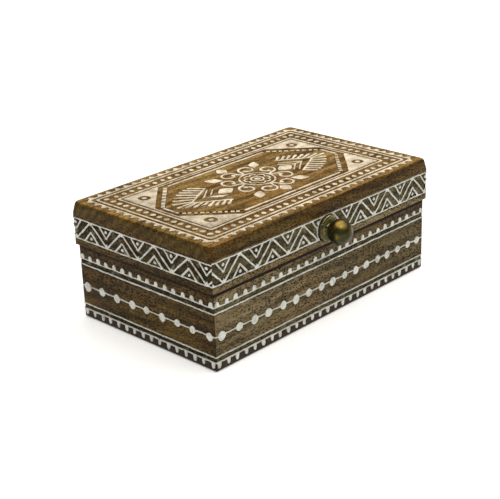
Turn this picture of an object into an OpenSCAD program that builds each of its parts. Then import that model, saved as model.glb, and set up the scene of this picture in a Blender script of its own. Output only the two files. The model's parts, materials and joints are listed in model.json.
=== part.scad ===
// Hinged wooden box with white inlay, a brass ball knob and two brass butt hinges.
// The origin is the centre of the underside: +X runs along the front, +Y to the back, +Z up.
// The front is the long side with the knob. All sizes are in millimetres.

/* [Carcass] */
// Length of the base along the front
base_length = 200; // [190:1:215]
// Depth of the base from front to back
base_depth = 120; // [116:1:126]
// Height of the base from the underside to the rim
base_height = 50; // [50:1:54]
// Thickness of the base walls and of the lid rails
wall = 9; // [8.5:0.5:10]
// Thickness of the bottom board
bottom_thickness = 5; // [4:0.5:6]
// Width of the rabbet that holds the bottom board
rabbet_width = 4.5; // [3:0.5:5]
// Radius of the lower outer edge of the base
foot_r = 1.8; // [1:0.1:1.8]
// Radius of the outer edges at the rim and at the corners
arris_r = 1; // [0.6:0.1:1.2]

/* [Lid] */
// Overhang of the lid past the base on every side
overhang = 1.5; // [1.3:0.1:1.8]
// Height of the lid rails
rail_height = 20.4; // [20:0.1:22]
// Thickness of the top board
board_thickness = 8.4; // [7:0.1:10]
// Gap between the rim and the closed lid
seam_gap = 0.2; // [0.15:0.05:0.3]
// Radius of the upper edges of the top board
board_edge_r = 2.4; // [2:0.1:3]
// Radius of the corners of the top board, seen from above
board_corner_r = 4.5; // [3.2:0.1:6]

/* [Inlay] */
// Depth of the carved recesses
inlay_depth = 0.5; // [0.4:0.1:1]
// How far the inlay stands above the wood
inlay_proud = 0.12; // [0.05:0.01:0.3]
// Space between an inlay and the edge of its recess
inlay_gap = 0.3; // [0.1:0.05:0.4]
// Size of the unevenness of the hand carving
hand_wobble = 0.22; // [0:0.01:0.3]

/* [Side courses] */
// Height of the toothed line below the rim
upper_line_z = 41.2; // [40:0.1:42]
// Height of the plain line below it
second_line_z = 37.3; // [36.5:0.1:38]
// Height of the line that strings the beads
bead_line_z = 22.7; // [20:0.1:25]
// Height of the plain line above the foot
third_line_z = 9.8; // [9.3:0.1:10.5]
// Height of the toothed line at the foot
foot_line_z = 6.2; // [6:0.1:6.6]
// Width of the white lines
line_w = 0.95; // [0.8:0.05:1.2]
// Number of teeth on a long side
teeth_long = 26; // [22:1:28]
// Number of teeth on a short side
teeth_short = 16; // [13:1:17]
// Number of teeth along the foot of a long side
foot_teeth_long = 27; // [22:1:29]
// Number of beads on a long side
beads_long = 17; // [13:1:19]
// Number of beads on a short side
beads_short = 9; // [7:1:11]

/* [Lid fret] */
// Height of the lower line of the fret
fret_low_z = 55.2; // [54.5:0.1:56]
// Height of the upper line of the fret on the long sides
fret_high_z = 69.4; // [69:0.1:69.5]
// Height of the upper line of the fret on the short sides
fret_high_short_z = 68.6; // [68:0.1:69.5]
// Length of one zigzag on a long side
fret_pitch_long = 27.4; // [25:0.1:29]
// Length of one zigzag on a short side
fret_pitch_short = 29.1; // [26:0.1:30]

/* [Top pattern] */
// Distance of the toothed line from the edge of the lid
toothed_inset = 7.6; // [7.3:0.1:8]
// Distance of the second line from the edge of the lid
second_inset = 11; // [10.6:0.1:11.4]
// Distance of the row of dots from the edge of the lid
dot_inset = 15.9; // [15.5:0.1:16.3]
// Distance of the third line from the edge of the lid
third_inset = 20.7; // [20.4:0.1:21]
// Distance of the fourth line from the edge of the lid
fourth_inset = 23.3; // [23:0.1:23.6]
// Distance of the lines round the middle field from the edge of the lid
field_inset = 27.3; // [27:0.1:27.6]
// How much wider the border is along the right-hand side, as a share of its width
right_widening = 0.08; // [0:0.01:0.1]
// Length of the two equal sides of a corner triangle
triangle_leg = 27.4; // [24:0.1:29]
// Radius of the rosette's outer ring
rosette_r = 11.7; // [10:0.1:12]

/* [Hinges and knob] */
// Distance of each hinge from the middle of the box
hinge_x = 60; // [40:1:70]
// Length of a hinge
hinge_length = 25; // [20:1:30]
// Thickness of a hinge leaf
leaf_thickness = 0.9; // [0.8:0.1:1.2]
// Outer radius of the hinge barrel
barrel_r = 1.9; // [1.8:0.1:2]
// Radius of the hinge pin
pin_r = 1; // [0.8:0.1:1.1]
// Diameter of the ball of the knob
ball_d = 16; // [12:0.5:17]
// Diameter of the round plate behind the knob
rose_d = 17.4; // [16.5:0.1:17.6]
// Place of the knob's axis along the front, which is a little off the middle
knob_x = -1.5; // [-3:0.1:3]
// Height of the knob's axis
knob_z = 60.7; // [60:0.1:60.8]

/* [Hidden] */
SIDES = ["front", "right", "back", "left"];
COURSES = ["upper", "bead", "lower"];

$fn = 48;

// Colours
WOOD_TOP = [0.55, 0.42, 0.22];
WOOD_SIDE = [0.41, 0.34, 0.25];
WHITE = [0.93, 0.89, 0.80];
BRASS = [0.62, 0.50, 0.26];
KNOB_BRASS = [0.36, 0.31, 0.17];
STEEL = [0.62, 0.62, 0.60];

// Heights and half sizes that follow from the driving dimensions
lid_z = base_height + seam_gap;
board_z = lid_z + rail_height;
top_z = board_z + board_thickness;
half_x = base_length / 2 + overhang;
half_y = base_depth / 2 + overhang;
// Half the length and the middle of a frame that lies at some inset in the wider border
function half_length(inset) = half_x - inset * (1 + right_widening / 2);
function middle(inset) = [-inset * right_widening / 2, 0];
field_x = half_length(field_inset);
field_y = half_y - field_inset;

// Hinge geometry
axis_y = base_depth / 2 + 0.3;
axis_z = base_height + seam_gap / 2;
knuckle_count = 5;
knuckle_gap = 0.2;
leaf_width = 5.5;
leaf_sink = 0.05;
barrel_space = 0.25;
back_arris_r = 0.4;
pin_clearance = 0.05;
pin_head_r = 1.5;
pin_head_length = 0.6;
leaf_y1 = axis_y - barrel_r - barrel_space;
leaf_y0 = leaf_y1 - leaf_width;
notch_length = hinge_length + 4 * pin_head_length;

// Wood screws in the hinge leaves
screw_spacing = 16;
screw_r = 0.9;
screw_head_r = 1.75;
screw_head_h = 0.8;
screw_length = 8.5;
screw_tip = 1.6;
screw_clearance = 0.05;

// Knob, rose and the machine screw through the front rail
rose_t = 2.6;
rose_edge_r = 1.7;
neck_r = 4;
neck_length = 3;
ball_sink = 0.5;
knob_screw_r = 1.95;
knob_bore_r = 2;
rail_hole_r = 2.2;
knob_thread_depth = 9;
washer_r = 4.5;
washer_t = 0.8;
knob_head_r = 3.5;
knob_head_h = 2.4;
rose_land_r = rose_d / 2 + 0.1;

// ---------- Small functions ----------

function arc(c, r, a0, a1, n) =
    [for (i = [0:n]) let (a = a0 + (a1 - a0) * i / n) c + r * [cos(a), sin(a)]];

function side_length(side, extra) = (side % 2 == 0 ? base_length : base_depth) + 2 * extra;

function side_half(side, extra) = (side % 2 == 0 ? base_depth : base_length) / 2 + extra;

// Position i of n places spread evenly over a span about zero
function place(i, n, span) = span * (i / (n - 1) - 0.5);

// A small repeatable unevenness, different for each i and each kind k
function wobble(i, k) = hand_wobble * sin(i * 137 + k * 61);

// A rounded outline between a rhombus (p above 1) and a rectangle (p below 1)
function blob(w, h, p, n, a0 = 0, turn = 360) =
    [for (i = [0:n]) let (a = a0 + turn * i / n)
        [w / 2 * sign(cos(a)) * pow(abs(cos(a)), p), h / 2 * sign(sin(a)) * pow(abs(sin(a)), p)]];

function unit(v) = v / norm(v);

function normal_at(path, i) =
    let (
        d = unit(path[min(i + 1, len(path) - 1)] - path[max(i - 1, 0)])
    ) [-d[1], d[0]];

// The outline of a band along a path whose width goes from w0 to w1
function ribbon(path, w0, w1) =
    let (n = len(path) - 1)
    concat(
        [for (i = [0:n]) path[i] + normal_at(path, i) * (w0 + (w1 - w0) * i / n) / 2],
        [for (i = [n:-1:0]) path[i] - normal_at(path, i) * (w0 + (w1 - w0) * i / n) / 2]
    );

function bezier(p0, p1, p2, n) =
    [for (i = [0:n]) let (t = i / n) p0 * pow(1 - t, 2) + p1 * 2 * t * (1 - t) + p2 * t * t];

// The plan of a bar with a mitre at both ends and a rounded outer corner
function mitre_plan(length, half, t, r) =
    concat(
        [[-(length / 2 - t), -(half - t)]],
        arc([-(length / 2 - r), -(half - r)], r, 225, 270, 4),
        arc([length / 2 - r, -(half - r)], r, 270, 315, 4),
        [[length / 2 - t, -(half - t)]]
    );

// ---------- Bars, recesses and inlay strips on the four sides ----------

// A mitred bar on one side: section_points is its cross-section, in Y and Z
module side_bar(side, extra, z0, z1, section_points) {
    length = side_length(side, extra);
    rotate([0, 0, 90 * side])
        intersection() {
            translate([0, 0, z0 - 1])
                linear_extrude(z1 - z0 + 2)
                    polygon(mitre_plan(length, side_half(side, extra), wall, arris_r));
            translate([-length / 2, 0, 0])
                rotate([90, 0, 90])
                    linear_extrude(length) polygon(section_points);
        }
}

// Puts a flat drawing (along the side, upwards) on the floor of a recess and thickens it outwards
module on_side(side, extra, height) {
    rotate([0, 0, 90 * side])
        translate([0, -side_half(side, extra) + inlay_depth, 0])
            rotate([90, 0, 0])
                linear_extrude(height) children();
}

module side_recess(side, extra) {
    on_side(side, extra, inlay_depth + 2) children();
}

module side_inlay(side, extra) {
    reach = 3;
    intersection() {
        on_side(side, extra, inlay_depth + 2) children();
        rotate([0, 0, 90 * side])
            linear_extrude(top_z)
                polygon(mitre_plan(
                    side_length(side, extra + inlay_proud),
                    side_half(side, extra + inlay_proud),
                    reach, arris_r
                ));
    }
}

// ---------- Flat drawings for the sides of the base ----------

module line_across(length, z, w = line_w) {
    translate([-length / 2, z - w / 2]) square([length, w]);
}

// A row of n rounded teeth that stand on a line and point up (way 1) or down (way -1)
module tooth_row(side, n, z, w, h, way) {
    span = side_length(side, 0) - 5.4;
    for (i = [0:n - 1])
        translate([place(i, n, span) + wobble(i, side), z])
            scale([1, way])
                polygon(blob(w + 1.3 * wobble(i, 2), 2 * h + 2 * wobble(i, 3), 0.72, 8, 0, 180));
}

module upper_toothed_line(side, length) {
    tooth_w = 3.6;
    tooth_h = 3.4;
    n = side % 2 == 0 ? teeth_long : teeth_short;
    line_across(length, upper_line_z);
    tooth_row(side, n, upper_line_z, tooth_w, tooth_h, 1);
}

module foot_toothed_line(side, length) {
    tooth_w = 3;
    tooth_h = 4;
    n = side % 2 == 0 ? foot_teeth_long : teeth_short;
    line_across(length, foot_line_z);
    tooth_row(side, n, foot_line_z, tooth_w, tooth_h, -1);
}

// The beads are laid out by eye: they shrink along the side and crowd towards its far end
module bead_line(side, length) {
    long = side % 2 == 0;
    n = long ? beads_long : beads_short;
    first_size = 6.3;
    last_size = 5.2;
    crowding = long ? 5.6 : 1.5;
    sag = 0.4;
    span = side_length(side, 0) * (long ? 0.94 : 0.915);
    line_across(length, bead_line_z);
    for (i = [0:n - 1]) {
        x = place(i, n, span) + crowding * sin(180 * pow(i / (n - 1), 0.72));
        size = first_size + (last_size - first_size) * i / (n - 1);
        translate([x + 2 * wobble(i, 4 + side), bead_line_z - sag + wobble(i, 5)])
            rotate(40 * wobble(i, 6))
                polygon(blob(size + 2 * wobble(i, 7), size + 2 * wobble(i, 8), 1.05, 14));
    }
}

// One course of inlay, as a flat drawing: 0 upper, 1 beads, 2 foot
module course_drawing(course, side) {
    length = side_length(side, 0) + 2;
    offset(delta = 0)
        union() {
            if (course == 0) {
                upper_toothed_line(side, length);
                line_across(length, second_line_z);
            }
            if (course == 1) bead_line(side, length);
            if (course == 2) {
                line_across(length, third_line_z);
                foot_toothed_line(side, length);
            }
        }
}

// The recess that holds a course: the two toothed courses lie in a channel
module course_recess_drawing(course, side) {
    length = side_length(side, 0) + 4;
    low = course == 0 ? second_line_z : foot_line_z;
    high = course == 0 ? upper_line_z : third_line_z;
    offset(delta = inlay_gap)
        union() {
            course_drawing(course, side);
            if (course != 1)
                translate([-length / 2, low - line_w / 2]) square([length, high - low + line_w]);
            line_across(length, (course == 1 ? bead_line_z : low));
        }
}

// ---------- Flat drawings for the fret on the lid rails ----------

function fret_pitch(side) = side % 2 == 0 ? fret_pitch_long : fret_pitch_short;

function fret_top(side) = side % 2 == 0 ? fret_high_z : fret_high_short_z;

// The first peak of the zigzag: a short side has a peak near its right-hand corner
function fret_start(side) =
    side % 2 == 0 ? 3.4 - 5 * fret_pitch_long : half_y - 18.8 - 5 * fret_pitch_short;

// One zigzag with its knots, the small peak and dot below it, and the hanging one beside it
module zigzag(pitch, rise) {
    stroke = 1.35;
    knot = 2.3;
    peak_rise = 0.53 * rise;
    peak_half = 0.225 * pitch;
    drop_half = 0.205 * pitch;
    dot_r = 1.2;
    polygon(ribbon([[-pitch / 2, 0], [0, rise]], stroke, stroke));
    polygon(ribbon([[0, rise], [pitch / 2, 0]], stroke, stroke));
    polygon([[-pitch / 2 - knot, 0], [-pitch / 2, knot + 0.8], [-pitch / 2 + knot, 0]]);
    polygon([[-knot, rise], [0, rise - knot], [knot, rise]]);
    polygon(ribbon([[0, peak_rise], [-peak_half, 0]], stroke, stroke + 0.3));
    polygon(ribbon([[0, peak_rise], [peak_half, 0]], stroke, stroke + 0.5));
    translate([0, peak_rise - stroke / 4]) circle(stroke / 2 + 0.1, $fn = 8);
    translate([0, 0.2 * rise]) circle(dot_r, $fn = 10);
    translate([pitch / 2, 0]) {
        polygon(ribbon([[-drop_half, rise], [0, 0.47 * rise]], stroke, stroke));
        polygon(ribbon([[0, 0.47 * rise], [drop_half, rise]], stroke, stroke));
        translate([0, 0.47 * rise + stroke / 4]) circle(stroke / 2 + 0.1, $fn = 8);
        translate([0, 0.8 * rise]) circle(dot_r, $fn = 10);
    }
}

module fret_band(side, length, extra = 0) {
    translate([-length / 2, fret_low_z - line_w / 2 - extra])
        square([length, fret_top(side) - fret_low_z + line_w + 2 * extra]);
}

module round_knob(r) {
    translate([knob_x, knob_z]) circle(r, $fn = 40);
}

// The ring of the fret round the rose rises a little above the fret's own lines
module knob_disc(length) {
    ring_rise = 0.2;
    intersection() {
        round_knob(rose_land_r + inlay_gap + line_w);
        fret_band(0, length, ring_rise);
    }
}

module fret_drawing(side) {
    length = side_length(side, overhang) + 2;
    rise = fret_top(side) - fret_low_z;
    offset(delta = 0)
        difference() {
            union() {
                intersection() {
                    union() {
                        line_across(length, fret_low_z, line_w + 0.15);
                        line_across(length, fret_top(side), line_w + 0.15);
                        for (i = [0:10])
                            translate([fret_start(side) + i * fret_pitch(side), fret_low_z])
                                zigzag(fret_pitch(side), rise);
                    }
                    fret_band(side, length);
                }
                if (side == 0) knob_disc(length);
            }
            if (side == 0) round_knob(rose_land_r + inlay_gap);
        }
}

module fret_recess_drawing(side) {
    length = side_length(side, overhang) + 4;
    difference() {
        offset(delta = inlay_gap)
            union() {
                fret_band(side, length);
                if (side == 0) knob_disc(length);
            }
        if (side == 0) round_knob(rose_land_r);
    }
}

// ---------- Flat drawings for the top of the lid ----------

// A line of width w round the lid at some inset, with corners of radius r
module rounded_frame(inset, w, r) {
    x = 2 * (half_length(inset) - r);
    y = 2 * (half_y - inset - r);
    translate(middle(inset))
        difference() {
            offset(r = r, $fn = 24) square([x + w, y + w], center = true);
            offset(r = r, $fn = 24) square([x - w, y - w], center = true);
        }
}

// Repeats a drawing on one long and one short side, then on the two opposite sides; each row
// keeps its own distance from the corners, and the row along the front may drift a little
module around_top(inset, n_long, n_short, trim_long, trim_short, front_drift = [0, 0]) {
    x = half_length(inset);
    y = half_y - inset;
    for (flip = [0, 180])
        translate(middle(inset))
            rotate(flip) {
                for (i = [0:n_long - 1])
                    translate([place(i, n_long, 2 * (x - trim_long)) + wobble(i, flip), y]
                        + (flip > 0 ? front_drift : [0, 0]))
                        children();
                for (i = [0:n_short - 1])
                    translate([x, place(i, n_short, 2 * (y - trim_short)) + wobble(i, flip + 1)])
                        rotate(-90) children();
            }
}

module toothed_border_drawing() {
    tooth_w = 5.2;
    tooth_h = 3.6;
    tip_w = 1.1;
    line = 1.4;
    offset(delta = 0)
        union() {
            rounded_frame(toothed_inset, line, 2);
            around_top(toothed_inset, teeth_long, teeth_short, 3, 3)
                polygon([[-tooth_w / 2, 0], [-tip_w / 2, tooth_h], [tip_w / 2, tooth_h],
                    [tooth_w / 2, 0]]);
        }
}

module border_lines_drawing() {
    rounded_frame(second_inset, 1.5, 2.4);
    rounded_frame(third_inset, 1.5, 1.2);
    rounded_frame(fourth_inset, 1, 0.6);
}

// The short sides hold the corner dots, so a long side has one place less at each end
module dot_row_drawing() {
    dots_long = 27;
    dots_short = 16;
    dot_shift = 0.6;
    pitch = 2 * half_length(dot_inset) / (dots_long - 1);
    around_top(dot_inset, dots_long - 2, dots_short, pitch, 0, [1.2, 0.7])
        translate([dot_shift, 0]) rotate(-18) polygon(blob(0.54 * pitch, 0.64 * pitch, 1.2, 10));
}

// Puts a drawing of the corner at the origin into all four inner corners of the border
module in_corners() {
    translate(middle(fourth_inset))
        for (sx = [-1, 1], sy = [-1, 1])
            scale([sx, sy])
                translate([half_length(fourth_inset) - 0.5, half_y - fourth_inset - 0.5])
                    children();
}

// Distance of the eye of a triangle from its two equal sides
eye_inset = 8.3;

module triangle_drawing() {
    in_corners()
        difference() {
            polygon([[0, 0], [-triangle_leg, 0], [0, -triangle_leg]]);
            translate([-eye_inset, -eye_inset]) circle(4, $fn = 24);
        }
}

module eye_drawing() {
    in_corners()
        translate([-eye_inset, -eye_inset]) circle(1.75, $fn = 16);
}

// Sum of x and y along the slanting rows of dashes; the two rows on the right lie further in
dash_sum = half_length(fourth_inset) + half_y - fourth_inset - 1 - triangle_leg - 4.4 * sqrt(2);
function dash_inward(sx) = sx > 0 ? 0.7 : 0.3;
field_w = 1.7;

module field_line_drawing() {
    long_half = dash_sum - field_y - 2.2;
    short_half = dash_sum - field_x - 1;
    translate(middle(field_inset))
        for (s = [-1, 1]) {
            translate([0, s * field_y]) square([2 * long_half, field_w], center = true);
            translate([s * field_x, 0]) square([field_w, 2 * short_half], center = true);
        }
}

// How many dashes a row has, their length and their width; the corners aren't cut alike
widest_dash = 2.7;
function dash_row(sx, sy) =
    sx < sy ? [7, 4, widest_dash] :
    sx > sy ? [10, 2.1, 2.5] :
    sx > 0 ? [9, 2.7, 2.2] : [10, 2.3, 2.2];

module dash_drawing() {
    run = sqrt(2) * (field_x + field_y - dash_sum) - 4.8;
    for (sx = [-1, 1], sy = [-1, 1]) {
        row = dash_row(sx, sy);
        translate(middle(field_inset))
            scale([sx, sy])
                translate([dash_sum + field_x - field_y, dash_sum - field_x + field_y] / 2)
                    rotate(-45)
                        for (i = [0:row[0] - 1])
                            translate([place(i, row[0], run) + wobble(i, sx + 3 * sy),
                                -dash_inward(sx)])
                                square([row[1] + 2 * wobble(i, sx - sy), row[2]], center = true);
    }
}

// The raised middle field, an octagon inside the field lines and the dashes
module field_outline() {
    back = field_w / 2 + inlay_gap + 0.1;
    x = field_x - back;
    y = field_y - back;
    row_back = widest_dash / 2 + inlay_gap;
    r = dash_sum - (row_back + dash_inward(1)) * sqrt(2);
    l = dash_sum - (row_back + dash_inward(-1)) * sqrt(2);
    translate(middle(field_inset))
        polygon([
            [x, r - x], [r - y, y], [y - l, y], [-x, l - x],
            [-x, x - l], [y - l, -y], [r - y, -y], [x, x - r]
        ]);
}

module border_recess_drawing() {
    difference() {
        offset(delta = inlay_gap)
            union() {
                toothed_border_drawing();
                translate(middle(toothed_inset))
                    square([2 * half_length(toothed_inset), 2 * (half_y - toothed_inset)],
                        center = true);
            }
        field_outline();
    }
}

// The rosette isn't quite in the middle of the lid
module at_rosette() {
    translate([0.8, -0.8]) children();
}

// One curl: it springs from the ring, sweeps round and ends in a drop near its own centre
curl_lean = 25;
curl_reach = 19.4;
curl_r = 6;
curl_w = 1.85;
ring_w = 1.5;

module curl() {
    c = curl_reach * [sin(curl_lean), cos(curl_lean)];
    n = 20;
    turn = [for (i = [0:n]) let (a = 192 - 350 * i / n, r = curl_r - 2.9 * i / n)
        c + r * [cos(a), sin(a)]];
    stem = bezier([0.3, rosette_r - 0.4], [1.2, rosette_r + 2.4], turn[0], 4);
    path = concat([for (i = [0:3]) stem[i]], turn);
    polygon(ribbon(path, curl_w, 0.9 * curl_w));
    translate(path[len(path) - 1]) circle(1.6, $fn = 10);
}

module curls_drawing() {
    at_rosette()
        for (k = [0:3], m = [0, 1])
            rotate(90 * k) mirror([m, 0]) curl();
}

module scrolls_drawing() {
    offset(delta = 0)
        union() {
            curls_drawing();
            at_rosette()
                difference() {
                    circle(rosette_r + ring_w / 2);
                    circle(rosette_r - ring_w / 2);
                }
        }
}

// A line with eight rounded lobes
module flower_drawing() {
    lobes = 8;
    steps = 8 * lobes;
    function lobe_r(a, w) = 6.5 + 2.3 * pow(abs(sin(lobes * a / 2)), 0.6) + w;
    function lobed(w) = [for (i = [0:steps - 1]) let (a = 360 * i / steps)
        lobe_r(a, w) * [cos(a), sin(a)]];
    at_rosette()
        difference() {
            polygon(lobed(0.65));
            polygon(lobed(-0.65));
        }
}

module rosette_centre_drawing() {
    at_rosette() {
        difference() {
            circle(4.9, $fn = 32);
            circle(3.5, $fn = 32);
        }
        circle(2.1, $fn = 20);
    }
}

// Four petals in line with the sides and four between them, each a little out of its place
module petals_drawing() {
    line_drift = [[-3.5, 1.1], [0.2, -0.9], [0, 0], [0.2, 0.3]];
    slant_drift = [[0.2, -2], [0.5, -2], [0, -0.3], [-0.7, 0]];
    for (k = [0:3]) {
        across = k % 2 == 1;
        translate(line_drift[k])
            rotate(90 * k)
                translate([0, across ? 28.4 : 26.2])
                    polygon(blob(across ? 10 : 8.6, across ? 13 : 10, 1.6, 16));
        translate(slant_drift[k])
            rotate(45 + 90 * k)
                translate([0, 28.6])
                    polygon(blob(7.8, 12.8, 1.7, 16));
    }
}

// A feather on two slanting spines: round-ended drops on one half, long close fingers on the
// other. The feather at the left is this one turned half round, with longer fingers.
module palmette_drawing(finger_length) {
    fingers = 7;
    start = [57, 0];
    drop_step = [-2.9, 2.1];
    finger_step = [-3.55, -1.9];
    offset(delta = 0)
        union() {
            for (i = [0:fingers]) {
                base = start + drop_step * i;
                angle = 31 * sin(13 * i);
                tip = base + (11 - 0.55 * i) * [cos(angle), sin(angle)];
                polygon(ribbon([base, tip], 1.1, 2.5));
                translate(tip) circle(1.25, $fn = 10);
            }
            for (i = [0:fingers - 1]) {
                base = start + [-1.6, -1.2] + finger_step * i;
                full = [66.2 - 4.35 * i, -20.8 * (1 - pow(1 - (i + 1.2) / 7.4, 2))];
                tip = base + finger_length * (full - base);
                polygon(ribbon([base, tip], 1.6, 2.3));
                translate(tip) circle(1.15, $fn = 10);
            }
            polygon(ribbon([start, start + drop_step * (fingers + 0.3)], 1.4, 1.8));
            polygon(ribbon([start, start + finger_step * (fingers - 0.2)], 1.4, 1.9));
        }
}

module chevron(tip_x, end_x, end_y, w) {
    for (m = [0, 1])
        mirror([0, m])
            polygon(ribbon(bezier([tip_x, -0.3], [(tip_x + end_x) / 2 + 0.6, end_y * 0.4],
                [end_x, end_y], 5), 1.3 * w, w));
}

module right_palmette_drawing() {
    translate([-1.2, 0]) palmette_drawing(0.8);
}

module left_palmette_drawing() {
    rotate(180) palmette_drawing(1);
}

module chevrons_drawing() {
    for (m = [0, 1])
        translate((1 - m) * [-1.9, 0.4])
            mirror([m, 0])
                offset(delta = 0)
                    union() {
                        chevron(47.3, 34.2, 9.8, 1.15);
                        chevron(41.2, 31.4, 7.4, 1.1);
                        translate([39.7, 0]) square([4, 1.2], center = true);
                        translate([44.2, 0]) square([7, 1.6], center = true);
                    }
}

module field_recess_drawing() {
    offset(delta = inlay_gap)
        union() {
            curls_drawing();
            at_rosette() circle(rosette_r + ring_w / 2);
            petals_drawing();
            right_palmette_drawing();
            left_palmette_drawing();
            chevrons_drawing();
        }
}

module top_inlay() {
    color(WHITE)
        translate([0, 0, top_z - inlay_depth])
            linear_extrude(inlay_depth + inlay_proud) children();
}

// ---------- Wooden pieces ----------

function base_section(side) =
    let (
        y = -side_half(side, 0),
        inner_r = 0.6
    )
    concat(
        arc([y + wall - inner_r, base_height - inner_r], inner_r, 0, 90, 3),
        arc([y + arris_r, base_height - arris_r], arris_r, 90, 180, 5),
        arc([y + foot_r, foot_r], foot_r, 180, 270, 6),
        [
            [y + wall - rabbet_width, 0],
            [y + wall - rabbet_width, bottom_thickness],
            [y + wall, bottom_thickness]
        ]
    );

function rail_section(side) =
    let (
        y = -side_half(side, overhang),
        r = side == 2 ? back_arris_r : arris_r
    )
    concat(
        [[y + wall, board_z], [y, board_z]],
        arc([y + r, lid_z + r], r, 180, 270, 5),
        [[y + wall, lid_z]]
    );

module base_panel(side) {
    color(WOOD_SIDE)
        difference() {
            side_bar(side, 0, 0, base_height, base_section(side));
            for (course = [0:2])
                side_recess(side, 0) course_recess_drawing(course, side);
            if (side == 2)
                for (s = [-1, 1]) translate([s * hinge_x, 0, 0]) {
                    barrel_notch();
                    leaf_mortise(base_height - leaf_sink - leaf_thickness, base_height + 1);
                    screw_holes(0);
                }
        }
}

module lid_rail(side) {
    color(WOOD_SIDE)
        difference() {
            side_bar(side, overhang, lid_z, board_z, rail_section(side));
            side_recess(side, overhang) fret_recess_drawing(side);
            if (side == 0)
                at_knob() translate([0, 0, -wall - 1]) cylinder(r = rail_hole_r, h = wall + 2);
            if (side == 2)
                for (s = [-1, 1]) translate([s * hinge_x, 0, 0]) {
                    barrel_notch();
                    leaf_mortise(lid_z - 1, lid_z + leaf_sink + leaf_thickness);
                    screw_holes(1);
                }
        }
}

module base_bottom_board() {
    slack = 0.1;
    x = base_length - 2 * (wall - rabbet_width) - 2 * slack;
    y = base_depth - 2 * (wall - rabbet_width) - 2 * slack;
    color(WOOD_SIDE)
        translate([-x / 2, -y / 2, 0]) cube([x, y, bottom_thickness]);
}

// The rounded board on top of the rails, with the recesses of the whole top pattern
module lid_top_board() {
    foot = 1;
    color(WOOD_TOP)
        difference() {
            hull()
                for (sx = [-1, 1], sy = [-1, 1]) {
                    translate([sx * (half_x - arris_r), sy * (half_y - arris_r), board_z])
                        cylinder(r = arris_r, h = foot, $fn = 16);
                    translate([sx * (half_x - board_corner_r), sy * (half_y - board_corner_r),
                        top_z - board_edge_r])
                        rotate_extrude($fn = 32) {
                            straight = board_corner_r - board_edge_r;
                            polygon(concat([[0, 0]], arc([straight, 0], board_edge_r, 0, 90, 8),
                                [[0, board_edge_r]]));
                        }
                }
            translate([0, 0, top_z - inlay_depth])
                linear_extrude(inlay_depth + 1) border_recess_drawing();
            translate([0, 0, top_z - inlay_depth])
                linear_extrude(inlay_depth + 1) field_recess_drawing();
        }
}

// ---------- Hinges ----------

module along_x(length) {
    translate([-length / 2, axis_y, axis_z]) rotate([0, 90, 0]) children();
}

module barrel_notch() {
    along_x(notch_length) cylinder(r = barrel_r + barrel_space, h = notch_length);
}

module leaf_mortise(z0, z1) {
    translate([-hinge_length / 2, leaf_y0, z0]) cube([hinge_length, leaf_width + 1, z1 - z0]);
}

// One leaf with its knuckles: which is 0 for the base leaf and 1 for the lid leaf
module hinge_leaf(which) {
    z = which == 0 ? base_height - leaf_sink - leaf_thickness : lid_z + leaf_sink;
    knuckle = hinge_length / knuckle_count;
    color(BRASS)
        difference() {
            union() {
                translate([-hinge_length / 2, leaf_y0, z])
                    cube([hinge_length, leaf_width, leaf_thickness]);
                for (i = [which:2:knuckle_count - 1])
                    translate([(i + 0.5) * knuckle - hinge_length / 2, 0, 0]) {
                        along_x(knuckle - knuckle_gap)
                            cylinder(r = barrel_r, h = knuckle - knuckle_gap);
                        translate([(knuckle_gap - knuckle) / 2, leaf_y1 - 0.5, z])
                            cube([knuckle - knuckle_gap, axis_y - leaf_y1 + 0.5, leaf_thickness]);
                    }
            }
            along_x(hinge_length + 2) cylinder(r = pin_r + pin_clearance, h = hinge_length + 2);
            screw_holes(which);
        }
}

module hinge_pin() {
    end_gap = 0.1;
    length = hinge_length + 2 * (end_gap + pin_head_length);
    color(BRASS)
        union() {
            along_x(length) cylinder(r = pin_r, h = length);
            for (s = [-1, 1])
                translate([s * (length - pin_head_length) / 2, 0, 0])
                    along_x(pin_head_length) cylinder(r = pin_head_r, h = pin_head_length);
        }
}

// Places a screw head-up on the base leaf (0) or head-down on the lid leaf (1)
module at_screws(which) {
    face_z = which == 0 ? base_height - leaf_sink : lid_z + leaf_sink;
    for (s = [-1, 1])
        translate([s * screw_spacing / 2, (leaf_y0 + leaf_y1) / 2, face_z])
            rotate([180 * which, 0, 0]) children();
}

// Pilot hole and countersink for every screw of one leaf
module screw_holes(which) {
    at_screws(which) {
        translate([0, 0, -screw_length - screw_clearance])
            cylinder(r = screw_r + screw_clearance, h = screw_length + 1);
        translate([0, 0, -screw_head_h])
            cylinder(r1 = screw_r + screw_clearance, r2 = screw_head_r + screw_clearance,
                h = screw_head_h);
    }
}

module wood_screw() {
    slot_w = 0.4;
    slot_depth = 0.35;
    difference() {
        union() {
            translate([0, 0, -screw_head_h])
                cylinder(r1 = screw_r, r2 = screw_head_r, h = screw_head_h);
            translate([0, 0, -screw_length + screw_tip])
                cylinder(r = screw_r, h = screw_length - screw_tip - screw_head_h / 2);
            translate([0, 0, -screw_length]) cylinder(r1 = 0.15, r2 = screw_r, h = screw_tip);
        }
        translate([-screw_head_r - 1, -slot_w / 2, -slot_depth])
            cube([2 * screw_head_r + 2, slot_w, slot_depth + 1]);
    }
}

module hinge_screws(which) {
    color(BRASS)
        for (s = [-1, 1])
            translate([s * hinge_x, 0, 0]) at_screws(which) wood_screw();
}

// ---------- Knob ----------

// Local +Z points out of the front of the lid along the knob's axis
module at_knob() {
    translate([knob_x, -half_y, knob_z]) rotate([90, 0, 0]) children();
}

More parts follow.
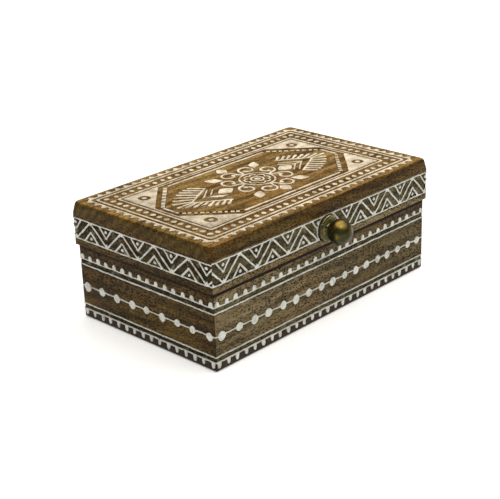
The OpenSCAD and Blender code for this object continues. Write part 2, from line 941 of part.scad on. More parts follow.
module knob_rose() {
    r = rose_d / 2;
    color(KNOB_BRASS)
        at_knob()
            rotate_extrude()
                polygon(concat(
                    [[rail_hole_r, 0], [r, 0]],
                    arc([r - rose_edge_r, rose_t - rose_edge_r], rose_edge_r, 0, 90, 6),
                    [
                        [r - rose_edge_r - 0.7, rose_t], [r - rose_edge_r - 1.3, rose_t - 0.5],
                        [neck_r + 0.5, rose_t - 0.5], [neck_r, rose_t], [rail_hole_r, rose_t]
                    ]
                ));
}

module knob() {
    color(KNOB_BRASS)
        at_knob()
            difference() {
                union() {
                    translate([0, 0, rose_t + ball_d / 2 - ball_sink]) sphere(d = ball_d);
                    translate([0, 0, rose_t]) cylinder(r = neck_r, h = neck_length);
                }
                cylinder(r = neck_r, h = rose_t);
                translate([0, 0, rose_t - 1]) cylinder(r = knob_bore_r, h = knob_thread_depth + 1);
            }
}

module knob_washer() {
    color(STEEL)
        at_knob()
            translate([0, 0, -wall - washer_t])
                difference() {
                    cylinder(r = washer_r, h = washer_t);
                    translate([0, 0, -1]) cylinder(r = rail_hole_r, h = washer_t + 2);
                }
}

module knob_screw() {
    under_head = -wall - washer_t;
    cross_w = 0.9;
    cross_l = 4;
    cross_depth = 1.3;
    color(STEEL)
        at_knob()
            difference() {
                union() {
                    translate([0, 0, under_head - knob_head_h])
                        cylinder(r = knob_head_r, h = knob_head_h);
                    translate([0, 0, under_head - 0.5])
                        cylinder(r = knob_screw_r,
                            h = rose_t + knob_thread_depth - 1 - under_head + 0.5);
                }
                for (a = [0, 90])
                    rotate(a)
                        translate([-cross_l / 2, -cross_w / 2, under_head - knob_head_h - 1])
                            cube([cross_l, cross_w, cross_depth + 1]);
            }
}

// ---------- Output ----------

for (side = [0:3]) {
    base_panel(side);
    lid_rail(side);
    color(WHITE) side_inlay(side, overhang) fret_drawing(side);
    for (course = [0:2])
        color(WHITE) side_inlay(side, 0) course_drawing(course, side);
}
base_bottom_board();
translate([-hinge_x, 0, 0]) hinge_leaf(0);  // left_hinge_base_leaf
translate([hinge_x, 0, 0]) hinge_leaf(0);  // right_hinge_base_leaf
translate([-hinge_x, 0, 0]) hinge_pin();  // left_hinge_pin
translate([hinge_x, 0, 0]) hinge_pin();  // right_hinge_pin
hinge_screws(0);  // hinge_base_screws
lid_top_board();
top_inlay() toothed_border_drawing();  // top_toothed_border
top_inlay() border_lines_drawing();  // top_border_lines
top_inlay() dot_row_drawing();  // top_dot_row
top_inlay() triangle_drawing();  // top_corner_triangles
top_inlay() eye_drawing();  // top_corner_eyes
top_inlay() field_line_drawing();  // top_field_lines
top_inlay() dash_drawing();  // top_field_dashes
top_inlay() scrolls_drawing();  // top_scrolls
top_inlay() flower_drawing();  // top_rosette_flower
top_inlay() rosette_centre_drawing();  // top_rosette_centre
top_inlay() petals_drawing();  // top_petals
top_inlay() left_palmette_drawing();  // top_left_palmette
top_inlay() right_palmette_drawing();  // top_right_palmette
top_inlay() chevrons_drawing();  // top_chevrons
translate([-hinge_x, 0, 0]) hinge_leaf(1);  // left_hinge_lid_leaf
translate([hinge_x, 0, 0]) hinge_leaf(1);  // right_hinge_lid_leaf
hinge_screws(1);  // hinge_lid_screws
knob();
knob_rose();
knob_screw();
knob_washer();
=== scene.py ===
"""Looks of the hinged wooden box with white inlay, a brass ball knob and brass butt hinges.

Everything is in metres, in the frame of the CAD model: +X along the front, +Y to the back, +Z up,
with the origin at the centre of the underside.
"""
import json
import math

import bmesh
import bpy
from mathutils import Matrix, Vector, noise


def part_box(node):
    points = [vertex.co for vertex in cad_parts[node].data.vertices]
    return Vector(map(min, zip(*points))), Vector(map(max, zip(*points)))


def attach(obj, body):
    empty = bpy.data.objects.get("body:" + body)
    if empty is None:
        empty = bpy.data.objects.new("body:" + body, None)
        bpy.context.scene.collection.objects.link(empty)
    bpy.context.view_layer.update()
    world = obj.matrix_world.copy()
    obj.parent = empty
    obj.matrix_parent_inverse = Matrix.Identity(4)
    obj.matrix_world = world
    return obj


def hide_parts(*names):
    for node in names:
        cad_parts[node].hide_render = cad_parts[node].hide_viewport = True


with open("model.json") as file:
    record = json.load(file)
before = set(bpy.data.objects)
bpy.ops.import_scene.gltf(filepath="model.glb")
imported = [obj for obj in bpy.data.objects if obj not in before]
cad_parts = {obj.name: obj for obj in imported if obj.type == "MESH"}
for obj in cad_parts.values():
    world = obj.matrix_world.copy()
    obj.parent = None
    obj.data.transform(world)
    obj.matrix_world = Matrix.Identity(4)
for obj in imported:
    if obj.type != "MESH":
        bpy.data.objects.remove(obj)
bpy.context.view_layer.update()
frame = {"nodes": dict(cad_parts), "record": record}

MM = 0.001
SEED = 3
noise.seed_set(SEED)

# ---------- Places read from the frame ----------

half_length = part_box("base_right_panel")[1].x
half_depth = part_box("base_back_panel")[1].y
rim_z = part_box("base_back_panel")[1].z
board_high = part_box("lid_top_board")[1]
lid_half_length = board_high.x
lid_half_depth = board_high.y
top_z = board_high.z
knob_low, knob_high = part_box("knob")
rose_low, rose_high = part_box("knob_rose")
RECESS_DEPTH = 0.5 * MM
DARK_FOOT_Z = 6.0 * MM
SEAM_HALF_WIDTH = 1.02 * MM


# ---------- Camera, light and floor ----------

def orbit_camera():
    """The viewpoint: az, el and roll in degrees, and a target near the middle of the box."""
    azimuth, elevation, roll = (math.radians(v) for v in (-45.635, 22.514, -2.07))
    distance = 0.801812
    shift_right, shift_up = -0.005177, 0.027702
    lens = 86.42
    back = Vector((
        math.sin(azimuth) * math.cos(elevation),
        -math.cos(azimuth) * math.cos(elevation),
        math.sin(elevation),
    ))
    right = Vector((math.cos(azimuth), math.sin(azimuth), 0))
    up = back.cross(right)
    cam = bpy.data.objects.new("camera", bpy.data.cameras.new("camera"))
    cam.data.lens = lens
    cam.data.sensor_width = 36
    cam.data.clip_start = 0.01
    cam.data.clip_end = 20
    rolled_right = right * math.cos(roll) + up * math.sin(roll)
    rolled_up = up * math.cos(roll) - right * math.sin(roll)
    axes = Matrix((rolled_right, rolled_up, back)).transposed().to_4x4()
    place = right * shift_right + up * shift_up + back * distance
    cam.matrix_world = Matrix.Translation(place) @ axes
    bpy.context.scene.collection.objects.link(cam)
    bpy.context.scene.camera = cam


def sun(name, towards, strength, spread, colour):
    data = bpy.data.lights.new(name, "SUN")
    data.energy = strength
    data.angle = math.radians(spread)
    data.color = colour
    lamp = bpy.data.objects.new(name, data)
    lamp.rotation_euler = Vector(towards).to_track_quat("Z", "Y").to_euler()
    bpy.context.scene.collection.objects.link(lamp)


def studio():
    """A wide soft light from above, a narrow weak one for glints, and a dim white world."""
    sun("overhead", (0.15, -0.12, 1.0), 2.6, 80, (1, 0.97, 0.91))
    sun("glint", (-0.30, -0.42, 1.0), 0.28, 14, (1, 0.95, 0.86))
    world = bpy.data.worlds.new("studio")
    bpy.context.scene.world = world
    world.use_nodes = True
    back = world.node_tree.nodes["Background"]
    back.inputs["Color"].default_value = (1, 1, 1, 1)
    back.inputs["Strength"].default_value = 0.34
    scene = bpy.context.scene
    scene.view_settings.view_transform = "Standard"
    scene.view_settings.look = "None"


def floor():
    half = 6.0
    mesh = bpy.data.meshes.new("floor")
    mesh.from_pydata(
        [(-half, -half, 0), (half, -half, 0), (half, half, 0), (-half, half, 0)], [], [(0, 1, 2, 3)]
    )
    plane = bpy.data.objects.new("floor", mesh)
    bpy.context.scene.collection.objects.link(plane)
    mat = bpy.data.materials.new("pale_floor")
    mat.use_nodes = True
    shader = mat.node_tree.nodes["Principled BSDF"]
    shader.inputs["Base Color"].default_value = (0.95, 0.95, 0.95, 1)
    shader.inputs["Roughness"].default_value = 0.9
    shader.inputs["Specular IOR Level"].default_value = 0.1
    shader.inputs["Emission Color"].default_value = (1, 1, 1, 1)
    shader.inputs["Emission Strength"].default_value = 0.22
    mesh.materials.append(mat)


orbit_camera()
studio()
floor()


# ---------- Node helpers ----------

class Graph:
    """A material and short ways to add nodes to it."""

    def __init__(self, name):
        self.material = bpy.data.materials.new(name)
        self.material.use_nodes = True
        self.tree = self.material.node_tree
        self.shader = self.tree.nodes["Principled BSDF"]

    def set(self, socket, value):
        if isinstance(value, bpy.types.NodeSocket):
            self.tree.links.new(value, socket)
        else:
            socket.default_value = value

    def add(self, kind, inputs=None, **props):
        made = self.tree.nodes.new(kind)
        for key, value in props.items():
            setattr(made, key, value)
        for key, value in (inputs or {}).items():
            self.set(made.inputs[key], value)
        return made

    def math(self, operation, a, b=0.0, c=0.0, clamp=False):
        made = self.add("ShaderNodeMath", {0: a, 1: b, 2: c}, operation=operation, use_clamp=clamp)
        return made.outputs[0]

    def vector(self, operation, a, b=(0, 0, 0)):
        return self.add("ShaderNodeVectorMath", {0: a, 1: b}, operation=operation).outputs[0]

    def mapped(self, vector, scale, location=(0, 0, 0), rotation=(0, 0, 0)):
        return self.add("ShaderNodeMapping", {
            "Vector": vector, "Scale": scale, "Location": location, "Rotation": rotation,
        }).outputs[0]

    def noise(self, vector, scale=1.0, detail=2.0, rough=0.5, distortion=0.0):
        return self.add("ShaderNodeTexNoise", {
            "Vector": vector, "Scale": scale, "Detail": detail, "Roughness": rough,
            "Distortion": distortion,
        })

    def ramp(self, value, *stops):
        """Colour or grey stops as (position, value)."""
        made = self.add("ShaderNodeValToRGB", {0: value})
        elements = made.color_ramp.elements
        while len(elements) < len(stops):
            elements.new(0.5)
        for element, (position, colour) in zip(elements, stops):
            element.position = position
            if isinstance(colour, (int, float)):
                colour = (colour,) * 3
            element.color = (*colour, 1)
        return made.outputs[0]

    def span(self, value, low, high, out_low=0.0, out_high=1.0, smooth=True):
        """value taken from low..high to out_low..out_high, and held there."""
        return self.add("ShaderNodeMapRange", {
            0: value, 1: low, 2: high, 3: out_low, 4: out_high,
        }, interpolation_type="SMOOTHSTEP" if smooth else "LINEAR").outputs[0]

    def mix(self, factor, a, b, blend="MIX"):
        made = self.add("ShaderNodeMix", data_type="RGBA", blend_type=blend)
        self.set(made.inputs[0], factor)
        self.set(made.inputs[6], a)
        self.set(made.inputs[7], b)
        return made.outputs[2]

    def tint(self, colour, by, factor=1.0):
        """The colour multiplied by a tint, as far as the factor says."""
        return self.mix(factor, colour, (*by, 1), "MULTIPLY")

    def parts(self, vector):
        """The x, y and z of a vector."""
        return self.add("ShaderNodeSeparateXYZ", {0: vector}).outputs

    def finish(self, colour, roughness, height=None, bump=0.3, distance=0.1 * MM, **constants):
        self.set(self.shader.inputs["Base Color"], colour)
        self.set(self.shader.inputs["Roughness"], roughness)
        for key, value in constants.items():
            self.shader.inputs[key.replace("_", " ")].default_value = value
        if height is not None:
            normal = self.add("ShaderNodeBump", {
                "Strength": bump, "Distance": distance, "Height": height,
            })
            self.tree.links.new(normal.outputs[0], self.shader.inputs["Normal"])
        return self.material


def linear(r, g, b):
    """An sRGB colour, 0 to 255, as linear values."""
    return tuple(((v / 255 + 0.055) / 1.055) ** 2.4 if v > 10 else v / 255 / 12.92 for v in (r, g, b))


def rgba(colour):
    return (*colour, 1)


# ---------- Wood ----------

def wood(name, tones, along="X", face=None, seed=0, figure=1.0, pores=1.0, foot=False, lid=False,
        shaded_edge=False, darker_end=1.0, flecks=(560, 1200)):
    """Oiled open-pored hardwood, dark in the pores, with stain and painted shade in the carving.

    tones: dark, middle and light colour. along: the axis the grain follows. face: the axis and
    place of the carved outer face, as ("Y", -0.06), whose recess floors get stain and painted shade.
    figure: how strongly the growth rings and the slow changes of tone show.
    pores: how dark the pores are. foot: whether the piece has the dark band and the mitred corners
    of the base. lid: whether it is a rail of the lid. shaded_edge: whether it gets painted shade where
    it turns away from the top. darker_end: how bright its end towards +X is, next to the other end.
    flecks: how many of the short pores stand in a metre, along the grain and across it.
    """
    g = Graph(name)
    coords = g.add("ShaderNodeTexCoord")
    place, normal = coords.outputs["Object"], coords.outputs["Normal"]
    position = g.parts(place)
    turn = (0, 0, 0) if along == "X" else (0, 0, math.radians(-90))
    grain = g.mapped(place, (1, 1, 1), (0.31 * seed, 0.17 * seed, 0.23 * seed), turn)
    bent = wandering(g, grain)
    streaks = g.noise(g.mapped(bent, (26, 330, 330)), detail=5, rough=0.68).outputs["Fac"]
    fibres = g.noise(g.mapped(bent, (110, 1500, 1500)), detail=3, rough=0.6).outputs["Fac"]
    blotches = g.noise(g.mapped(grain, (17, 38, 38)), detail=3, rough=0.6).outputs["Fac"]

    tone = g.math("MULTIPLY_ADD", growth_rings(g, bent), 0.2 * figure, 0.0)
    tone = g.math("MULTIPLY_ADD", streaks, 0.8, tone)
    tone = g.math("MULTIPLY_ADD", blotches, 0.6 * figure, tone)
    tone = g.math("MULTIPLY_ADD", fibres, 0.32, tone)
    tone = g.math("SUBTRACT", tone, 0.17 + 0.38 * figure)
    dark, middle, light = tones
    colour = g.ramp(tone, (0.2, dark), (0.45, middle), (0.72, light))
    colour = redden_patches(g, colour, grain)
    pore = pore_mask(g, grain, bent, flecks)
    colour = g.mix(g.math("MULTIPLY", pore, 0.96 * pores), colour, rgba(tuple(v * 0.12 for v in dark)))

    if darker_end < 1:
        fading = g.span(position[0], -0.45 * half_length, 0.7 * half_length)
        colour = g.tint(colour, (darker_end, 0.95 * darker_end, 0.74 * darker_end), fading)
    # Recess floors: a dark stain together with painted shade
    if face:
        colour = stain_and_shade_recess(g, colour, place, normal, face)
    if foot:
        colour = darken_foot(g, colour, position, streaks, blotches)
        line = mitre_line(g, position, half_length, half_depth)
        colour = g.mix(line, colour, rgba(linear(30, 22, 16)))
    # Painted shadow of the lid's overhang, as a dark line at the seam
    if foot or lid:
        seam = seam_shadow_mask(g, normal, position, streaks)
        colour = g.mix(seam, colour, rgba(linear(26, 8, 3)))
    # Painted shade where the rounding of the top board turns away from the top
    if shaded_edge:
        upwards = g.parts(normal)[2]
        turned_away = g.span(g.math("MULTIPLY_ADD", blotches, 0.3, upwards), 1.13, 0.94)
        colour = g.tint(colour, (0.33, 0.33, 0.21), turned_away)
    # Dark polish and painted shade in the corners and recesses, from an occlusion mask
    colour = polish_and_shade_in_corners(g, colour, 0.6 if shaded_edge else 0.8)

    rough = g.math("MULTIPLY_ADD", streaks, 0.2, 0.4)
    rough = g.math("MULTIPLY_ADD", pore, 0.25, rough, clamp=True)
    height = g.math("MULTIPLY_ADD", pore, -1.0, g.math("MULTIPLY", fibres, 0.4))
    return g.finish(colour, rough, height, bump=0.6, distance=0.16 * MM, Specular_IOR_Level=0.09)


def wandering(g, grain):
    """The grain's own space, bent by a slow wander."""
    wander = g.noise(g.mapped(grain, (11, 34, 34)), detail=2, rough=0.5)
    push = g.vector("SUBTRACT", wander.outputs["Color"], (0.5, 0.5, 0.5))
    push = g.vector("MULTIPLY", push, (0.02, 0.013, 0.013))
    return g.vector("ADD", grain, push)


def growth_rings(g, bent):
    """Growth rings, cut at a slant so that they run out in arches."""
    tilt = math.radians(5)
    ring_space = g.mapped(bent, (1, 1, 1), (0, 0.011, 0.02), (tilt, tilt * 0.6, tilt))
    return g.add("ShaderNodeTexWave", {
        "Vector": ring_space, "Scale": 52, "Distortion": 3.6, "Detail": 3, "Detail Scale": 1.2,
        "Detail Roughness": 0.6,
    }, wave_type="RINGS", rings_direction="X").outputs["Fac"]


def redden_patches(g, colour, grain):
    redness = g.noise(g.mapped(grain, (13, 24, 24), (5, 2, 7)), detail=2).outputs["Fac"]
    return g.tint(colour, (0.97, 0.8, 0.62), g.span(redness, 0.46, 0.66, 0.0, 0.6))


def pore_mask(g, grain, bent, flecks):
    """1 in the pores: short flecks along the grain, dense in some places and sparse in others."""
    dense = g.noise(g.mapped(grain, (30, 80, 80), (3, 1, 2)), detail=2).outputs["Fac"]
    dense = g.span(dense, 0.3, 0.5, 0.5, 1.0)
    long_pores = fleck_mask(g, bent, (270, 1200, 1200), 0.3)
    short_pores = fleck_mask(
        g, g.mapped(bent, (1, 1, 1), (0.4, 0.7, 0.2)), (flecks[0], flecks[1], flecks[1]), 0.1)
    pore = g.math("MAXIMUM", g.math("MULTIPLY", long_pores, 0.8), short_pores)
    return g.math("MULTIPLY", pore, dense)


def fleck_mask(g, vector, density, missing):
    """1 in small long cells; missing is the share of the cells left empty."""
    cells = g.add("ShaderNodeTexVoronoi", {
        "Vector": g.mapped(vector, density), "Scale": 1, "Randomness": 1,
    })
    pick = g.add("ShaderNodeSeparateColor", {0: cells.outputs["Color"]}).outputs[0]
    mask = g.span(cells.outputs["Distance"], 0.5, 0.26)
    return g.math("MULTIPLY", mask, g.math("GREATER_THAN", pick, missing))


def stain_and_shade_recess(g, colour, place, normal, face):
    """Darkens the floor of the carved recesses, which lies RECESS_DEPTH behind the face,
    with a dark stain and painted shade.

    On the sides some white is left over in the carving.
    """
    axis, outer = face
    index = "XYZ".index(axis)
    depth = g.math("ABSOLUTE", g.math("SUBTRACT", g.parts(place)[index], outer))
    near = g.span(g.math("ABSOLUTE", g.math("SUBTRACT", depth, RECESS_DEPTH)), 0.3 * MM, 0.2 * MM)
    facing = g.math("ABSOLUTE", g.parts(normal)[index])
    floor_mask = g.math("MULTIPLY", near, g.span(facing, 0.8, 0.95))
    # Stain and painted shade on the recess floor, darker on the sides
    ground = g.tint(colour, (0.85, 0.8, 0.66) if axis == "Z" else (0.5, 0.56, 0.45))
    if axis != "Z":
        haze = g.noise(place, 190, 4, 0.7).outputs["Fac"]
        ground = g.mix(g.span(haze, 0.52, 0.72, 0.0, 0.42), ground, rgba(linear(168, 163, 142)))
    return g.mix(floor_mask, colour, ground)


def darken_foot(g, colour, position, streaks, blotches):
    """A dark band round the foot, with an uneven upper edge."""
    edge = g.math("MULTIPLY_ADD", blotches, 1.2 * MM, position[2])
    mask = g.span(edge, DARK_FOOT_Z + 0.9 * MM, DARK_FOOT_Z + 0.5 * MM)
    black = g.mix(streaks, rgba(linear(30, 23, 20)), rgba(linear(66, 52, 44)))
    return g.mix(g.math("MULTIPLY", mask, 0.93), colour, black)


def seam_shadow_mask(g, normal, position, streaks):
    """Painted shadow under the lid's overhang: 1 on a dark line round the outside, just below the lid,
    fainter on the short sides.
    """
    away = g.math("ABSOLUTE", g.math("SUBTRACT", position[2], rim_z - 1.0 * MM))
    away = g.math("MULTIPLY_ADD", streaks, -0.3 * MM, away)
    mask = g.span(away, SEAM_HALF_WIDTH, SEAM_HALF_WIDTH - 0.14 * MM)
    parts = g.parts(g.vector("ABSOLUTE", normal))
    mask = g.math("MULTIPLY", mask, g.span(parts[2], 0.95, 0.7))
    return g.math("MULTIPLY", mask, g.span(parts[0], 0.3, 0.7, 0.98, 0.72))


def polish_and_shade_in_corners(g, colour, darkening_share):
    """Dark polish left in the corners of the carving and in the joints, and painted shade there."""
    shade = g.add("ShaderNodeAmbientOcclusion", {"Distance": 1.1 * MM}, samples=6)
    darkening = g.span(shade.outputs["AO"], 0.8, 0.25, 0.0, darkening_share)
    return g.tint(colour, (0.34, 0.27, 0.18), darkening)


def mitre_line(g, position, half_x, half_y):
    """1 on the glue line of the mitred corners, which are where |x| - half_x equals |y| - half_y."""
    x = g.math("SUBTRACT", g.math("ABSOLUTE", position[0]), half_x)
    y = g.math("SUBTRACT", g.math("ABSOLUTE", position[1]), half_y)
    return g.span(g.math("ABSOLUTE", g.math("SUBTRACT", x, y)), 0.42 * MM, 0.12 * MM)


TOP_TONES = (linear(86, 62, 24), linear(144, 112, 56), linear(180, 146, 84))
FRONT_TONES = (linear(67, 55, 33), linear(117, 102, 71), linear(147, 132, 97))
LEFT_TONES = (linear(47, 34, 11), linear(82, 62, 24), linear(108, 83, 34))


# ---------- Inlay, brass and steel ----------

def inlay(name, bright, dull, grime, thin_spots=0.0, dull_end=1.0):
    """White filler rubbed into carving: mottled, matt, with grime along its rounded edges.

    The grime sits where a surface is turned away from all three axes, which is the edge rounding.
    thin_spots: how far the wood shows through the thinnest places. dull_end: how bright the end
    of the pattern towards -X is, next to the rest.
    """
    g = Graph(name)
    coords = g.add("ShaderNodeTexCoord")
    place = coords.outputs["Object"]
    mottle = g.noise(place, 160, 4, 0.65).outputs["Fac"]
    specks = g.noise(place, 1500, 2, 0.6).outputs["Fac"]
    tone = g.math("MULTIPLY_ADD", specks, 0.4, g.math("MULTIPLY", mottle, 0.65))
    colour = g.ramp(tone, (0.39, dull), (0.62, bright))
    if dull_end < 1:
        fading = g.span(g.parts(place)[0], -0.35 * half_length, -0.75 * half_length)
        colour = g.tint(colour, (dull_end,) * 3, fading)
    if thin_spots:
        thin = g.span(g.noise(place, 330, 3, 0.65).outputs["Fac"], 0.53, 0.68, 0.0, thin_spots)
        colour = g.mix(thin, colour, rgba(grime))
    parts = g.parts(g.vector("ABSOLUTE", coords.outputs["Normal"]))
    straight = g.math("MAXIMUM", g.math("MAXIMUM", parts[0], parts[1]), parts[2])
    edge = g.span(straight, 0.97, 0.8, 0.0, 0.75)
    wear = g.span(g.noise(place, 420, 2).outputs["Fac"], 0.3, 0.6, 0.35, 1.0)
    colour = g.mix(g.math("MULTIPLY", edge, wear), colour, rgba(grime))
    rough = g.span(mottle, 0.3, 0.7, 0.65, 0.48)
    return g.finish(colour, rough, tone, bump=0.4, distance=0.14 * MM, Specular_IOR_Level=0.2)


def brass(name, stops, roughness, varnish=0.0, top_wear_and_highlight=0.0):
    """Brass under a patina: stops as (tone, colour) from dark to bright; brighter on top and darker
    below, partly rubbed wear and patina, partly painted highlight and shade.
    """
    g = Graph(name)
    coords = g.add("ShaderNodeTexCoord")
    place = coords.outputs["Object"]
    cloud = g.noise(place, 170, 3, 0.6, 0.4).outputs["Fac"]
    fine = g.noise(place, 1400, 3, 0.6).outputs["Fac"]
    tone = g.math("MULTIPLY_ADD", fine, 0.3, g.math("MULTIPLY_ADD", cloud, 0.85, -0.08))
    upwards = g.parts(coords.outputs["Normal"])[2]
    # Brighter the more a face points up: partly wear, partly painted highlight; darker below
    tone = g.math("MULTIPLY_ADD", upwards, top_wear_and_highlight, tone)
    colour = g.ramp(tone, *stops)
    rough = g.span(tone, 0.3, 0.7, roughness + 0.08, roughness - 0.04)
    return g.finish(colour, rough, fine, bump=0.12, distance=0.04 * MM, Metallic=1.0,
        Coat_Weight=varnish, Coat_Roughness=0.3)


def steel(name):
    g = Graph(name)
    place = g.add("ShaderNodeTexCoord").outputs["Object"]
    cloud = g.noise(place, 300, 3, 0.6).outputs["Fac"]
    colour = g.ramp(cloud, (0.3, linear(120, 120, 118)), (0.7, linear(178, 178, 172)))
    rough = g.span(cloud, 0.3, 0.7, 0.42, 0.3)
    return g.finish(colour, rough, cloud, bump=0.1, distance=0.05 * MM, Metallic=1.0)


def paint(node_name, material):
    obj = frame["nodes"][node_name]
    obj.data.materials.clear()
    obj.data.materials.append(material)


def panel_materials():
    sides = {
        "front": (FRONT_TONES, "X", ("Y", -1)),
        "back": (FRONT_TONES, "X", ("Y", 1)),
        "left": (LEFT_TONES, "Y", ("X", -1)),
        "right": (LEFT_TONES, "Y", ("X", 1)),
    }
    for seed, (side, (tones, along, (axis, sign))) in enumerate(sides.items(), 1):
        base_face = half_length if axis == "X" else half_depth
        lid_face = lid_half_length if axis == "X" else lid_half_depth
        long_side = dict(figure=0.65, darker_end=0.6, flecks=(450, 950)) if axis == "Y" else {}
        paint(f"base_{side}_panel", wood(
            f"{side}_panel_wood", tones, along, (axis, sign * base_face), seed, foot=True, **long_side))
        paint(f"lid_{side}_rail", wood(
            f"{side}_rail_wood", tones, along, (axis, sign * lid_face), seed + 5, lid=True))
    paint("lid_top_board", wood(
        "top_wood", TOP_TONES, "X", ("Z", top_z), 11, pores=0.85, shaded_edge=True))
    paint("base_bottom_board", wood("bottom_wood", FRONT_TONES, "X", None, 12))


panel_materials()
GRIME = linear(96, 80, 50)
top_white = inlay("top_inlay", linear(246, 232, 207), linear(164, 148, 120), linear(134, 104, 60),
    dull_end=0.78)
# The sides' white is the same filler as the top's, painted greyer and cooler as shade
shaded_side_white = inlay("side_inlay", linear(214, 214, 205), linear(178, 177, 167), GRIME, thin_spots=0.5)
knob_brass = brass("knob_brass", (
    (0.30, linear(36, 40, 22)), (0.55, linear(66, 62, 30)), (0.80, linear(136, 108, 44)),
), 0.33, varnish=0.15, top_wear_and_highlight=0.17)
# The rose's brass is paler than the knob's, partly as painted highlight for the bright strokes on its
# rims
rose_brass_highlighted = brass("rose_brass_highlighted", (
    (0.30, linear(56, 55, 32)), (0.52, linear(104, 96, 56)), (0.76, linear(214, 198, 146)),
), 0.26, varnish=0.2, top_wear_and_highlight=0.18)
hinge_brass = brass("hinge_brass", ((0.3, linear(122, 94, 44)), (0.6, linear(196, 158, 84))), 0.32)
zinc = steel("zinc_steel")
BY_SLOT = {
    "top_inlay": top_white, "side_inlay": shaded_side_white, "knob_brass": knob_brass,
    "hinge_brass": hinge_brass, "steel": zinc,
}
for entry in frame["record"]["subparts"]:
    if entry["material_slot"] in BY_SLOT:
        paint(entry["node"], BY_SLOT[entry["material_slot"]])


# ---------- White pieces with soft, hand-cut edges ----------

# For each face: which world axes run along it, up it and out of it, with their signs
FACES = {
    "top": ((0, 1), (1, 1), (2, 1)),
    "front": ((0, 1), (2, 1), (1, -1)),
    "back": ((0, -1), (2, 1), (1, 1)),
    "left": ((1, -1), (2, 1), (0, -1)),
    "right": ((1, 1), (2, 1), (0, 1)),
}
# Lengths are in mm
ARRIS = 1.0  # rounding of the corners of the box
CUT_STEP = 0.8  # between the points on a short side of an outline
LONG_CUT_STEP = 1.6  # and on a long one
LONG_SIDE = 12
TOP_WOBBLE = 0.13  # how far the hand strays on the top
SIDE_WOBBLE = 0.2  # and on the sides
WAVE = 0.55  # how quickly it strays, in noise cells a mm
SLOW_WAVE = 0.12
SLOW_SHARE = 0.8
NOISE_GAIN = 1.5
FRET_THINNING = 0.06  # taken off each edge of the fret's lines
EDGE_ROUND = 0.2  # rounding of the white
GREATEST_DEPTH = 0.85  # of the white pieces
OUTER_LAYER = 0.03  # how far below the highest point a face still counts as the outer one
FACING = 0.98  # the cosine above which a face counts as facing outwards


def flat_outlines(obj, face):
    """The closed outlines of the outer face of a CAD inlay, in mm, and its outer place and depth."""
    (u_axis, u_sign), (v_axis, v_sign), (w_axis, w_sign) = FACES[face]

    def flat(co):
        return (round(u_sign * co[u_axis] / MM, 4), round(v_sign * co[v_axis] / MM, 4))

    mesh = obj.data
    heights = [w_sign * v.co[w_axis] / MM for v in mesh.vertices]
    outer, inner = max(heights), min(heights)
    edges = set()
    for poly in mesh.polygons:
        flat_on = poly.normal[w_axis] * w_sign > FACING
        if not flat_on or w_sign * poly.center[w_axis] / MM < outer - OUTER_LAYER:
            continue
        corners = [flat(mesh.vertices[i].co) for i in poly.vertices]
        edges.update((a, b) for a, b in zip(corners, corners[1:] + corners[:1]) if a != b)
    follow = {}
    for a, b in sorted(edges):
        if (b, a) not in edges:
            follow.setdefault(a, []).append(b)
    loops = []
    while follow:
        start = min(follow)
        loop, here = [], start
        while here in follow:
            loop.append(here)
            ahead = follow[here].pop()
            if not follow[here]:
                del follow[here]
            here = ahead
        if len(loop) > 2:
            loops.append(loop)
    return loops, outer, inner


def cut_by_hand(loop, shift, reach):
    """The outline with more points, each moved a little.

    Where it reaches the corner of the box, it runs on half way round the arris instead.
    """
    size = SIDE_WOBBLE if reach else TOP_WOBBLE
    points = []
    for a, b in zip(loop, loop[1:] + loop[:1]):
        run = math.dist(a, b)
        steps = max(1, round(run / (CUT_STEP if run < LONG_SIDE else LONG_CUT_STEP)))
        points += [
            (a[0] + (b[0] - a[0]) * k / steps, a[1] + (b[1] - a[1]) * k / steps)
            for k in range(steps)
        ]
    moved = []
    for u, v in points:
        wave = noise.noise_vector(Vector((u * WAVE + shift, v * WAVE, shift)))
        slow = noise.noise_vector(Vector((u * SLOW_WAVE, v * SLOW_WAVE, shift + 9)))
        du = size * (wave.x + SLOW_SHARE * slow.x) * NOISE_GAIN
        dv = size * (wave.y + SLOW_SHARE * slow.y) * NOISE_GAIN
        if reach and abs(u) > reach - 0.02:
            u, du = math.copysign(reach + ARRIS * math.pi / 4 - 0.04, u), 0
        moved.append((u + du, v + dv))
    return moved


def pillow(name, loops, thickness, thinning):
    """A flat plate with those outlines, in mm, with rounded edges above and below."""
    curve = bpy.data.curves.new(name, "CURVE")
    curve.dimensions = "2D"
    curve.fill_mode = "BOTH"
    curve.bevel_depth = EDGE_ROUND
    curve.bevel_resolution = 1
    curve.extrude = thickness / 2 - EDGE_ROUND
    curve.offset = -EDGE_ROUND - thinning
    for loop in loops:
        spline = curve.splines.new("POLY")
        spline.points.add(len(loop) - 1)
        for point, (u, v) in zip(spline.points, loop):
            point.co = (u, v, 0, 1)
        spline.use_cyclic_u = True
    holder = bpy.data.objects.new(name, curve)
    mesh = bpy.data.meshes.new_from_object(holder)
    bpy.data.objects.remove(holder)
    bpy.data.curves.remove(curve)
    return mesh


def bend_ends(mesh, reach, rise):
    """Wraps what lies past reach round the arris of the corner; rise is the outer half thickness."""
    bm = bmesh.new()
    bm.from_mesh(mesh)
    for limit in (reach, reach + 0.26 * ARRIS, reach + 0.52 * ARRIS):
        for side in (-1, 1):
            bmesh.ops.bisect_plane(
                bm, geom=bm.verts[:] + bm.edges[:] + bm.faces[:],
                plane_co=(side * limit, 0, 0), plane_no=(1, 0, 0))
    for v in bm.verts:
        past = abs(v.co.x) - reach
        if past > 0:
            angle = past / ARRIS
            radius = ARRIS + v.co.z - rise
            v.co.x = math.copysign(reach + radius * math.sin(angle), v.co.x)
            v.co.z = rise - ARRIS + radius * math.cos(angle)
    bm.to_mesh(mesh)
    bm.free()


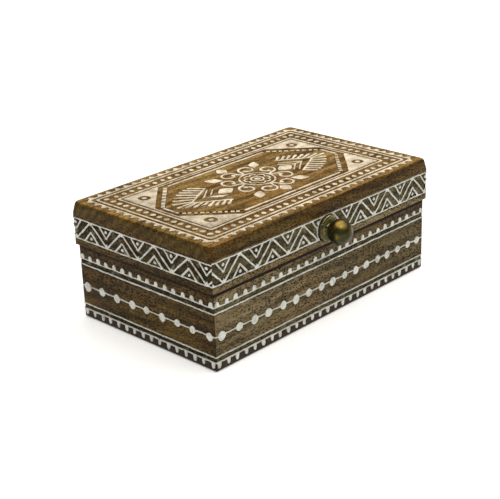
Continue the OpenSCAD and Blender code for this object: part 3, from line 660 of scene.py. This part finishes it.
def soft_inlay(node_name, face, body, slot, shift):
    obj = frame["nodes"][node_name]
    loops, outer, inner = flat_outlines(obj, face)
    reach = None
    if face != "top":
        reach = max(abs(u) for loop in loops for u, v in loop)
    depth = min(outer - inner, GREATEST_DEPTH)
    cut = [cut_by_hand(loop, shift, reach) for loop in loops]
    mesh = pillow(node_name + "_cut", cut, depth, FRET_THINNING if "fret" in node_name else 0)
    if reach:
        bend_ends(mesh, reach, depth / 2)
    (u_axis, u_sign), (v_axis, v_sign), (w_axis, w_sign) = FACES[face]
    for v in mesh.vertices:
        u, up, out = v.co
        place = [0.0, 0.0, 0.0]
        place[u_axis] = u_sign * u * MM
        place[v_axis] = v_sign * up * MM
        place[w_axis] = w_sign * (outer - depth / 2 + out) * MM
        v.co = place
    mesh.materials.append(BY_SLOT[slot])
    piece = bpy.data.objects.new(node_name + "_cut", mesh)
    bpy.context.scene.collection.objects.link(piece)
    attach(piece, body)
    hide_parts(node_name)


for shift, entry in enumerate(frame["record"]["subparts"]):
    slot_name = entry["material_slot"]
    if slot_name not in ("top_inlay", "side_inlay"):
        continue
    inlay_node = entry["node"]
    inlay_face = "top" if slot_name == "top_inlay" else inlay_node.split("_")[0]
    soft_inlay(inlay_node, inlay_face, "lid" if "course" not in inlay_node else "base", slot_name, shift)


# ---------- Turned knob and rose ----------

def turned(name, profile, start, node_name, material, turns=96):
    """A round piece turned about the knob's axis; profile is radius and distance forwards, in mm."""
    mesh = bpy.data.meshes.new(name)
    verts, faces = [], []
    for radius, ahead in profile:
        for k in range(turns):
            a = 2 * math.pi * k / turns
            verts.append((
                start.x + radius * MM * math.cos(a),
                start.y - ahead * MM,
                start.z + radius * MM * math.sin(a),
            ))
    for row in range(len(profile) - 1):
        ring, next_ring = row * turns, (row + 1) * turns
        for k in range(turns):
            n = (k + 1) % turns
            faces.append((ring + k, next_ring + k, next_ring + n, ring + n))
    faces.append(tuple(range(turns)))
    last = (len(profile) - 1) * turns
    faces.append(tuple(last + k for k in reversed(range(turns))))
    mesh.from_pydata(verts, [], faces)
    bm = bmesh.new()
    bm.from_mesh(mesh)
    bmesh.ops.recalc_face_normals(bm, faces=bm.faces[:])
    bm.to_mesh(mesh)
    bm.free()
    for poly in mesh.polygons:
        poly.use_smooth = len(poly.vertices) == 4
    mesh.materials.append(material)
    piece = bpy.data.objects.new(name, mesh)
    bpy.context.scene.collection.objects.link(piece)
    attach(piece, "lid")
    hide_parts(node_name)


def turned_rose(start, t):
    """The rose: a rounded rim, a hollow, three ridges and a flat middle under the knob."""
    r = (rose_high.x - rose_low.x) / 2 / MM
    rose = [(r - 0.1, 0), (r, 0.15), (r, 0.7)]
    rose += [(r - 1.1 + 1.1 * math.cos(a), t - 1.35 + 1.05 * math.sin(a))
        for a in (math.radians(6 + 14 * k) for k in range(7))]
    rose.append((r - 1.3, t - 0.6))
    for ridge in (r - 2.0, r - 3.1, r - 4.2):
        rose += [(ridge + 0.45 * math.cos(a), t - 0.5 + 0.5 * math.sin(a))
            for a in (math.radians(10 + 40 * k) for k in range(5))]
    rose += [(r - 4.8, t - 0.2), (r - 4.9, t), (2.3, t)]
    turned("rose_turned", rose, start, "knob_rose", rose_brass_highlighted)


def turned_knob(start, t, neck_r=3.9, rings=36):
    """The knob: a short neck that stands on the rose, and a ball."""
    ball_r = (knob_high.x - knob_low.x) / 2 / MM
    front = (rose_high.y - knob_low.y) / MM
    centre = front - ball_r
    first = math.pi - math.asin((neck_r - 0.3) / ball_r)
    knob = [(2.1, t), (neck_r, t), (neck_r, t + 0.2), (neck_r - 0.3, centre + ball_r * math.cos(first))]
    knob += [(ball_r * math.sin(a), centre + ball_r * math.cos(a))
        for a in (first * (1 - k / rings) for k in range(1, rings))]
    knob.append((0.12, front - 0.002))
    turned("knob_turned", knob, start, "knob", knob_brass)


axis_start = Vector(((rose_low.x + rose_high.x) / 2, rose_high.y, (rose_low.z + rose_high.z) / 2))
rose_thickness = (rose_high.y - rose_low.y) / MM
turned_rose(axis_start, rose_thickness)
turned_knob(axis_start, rose_thickness)
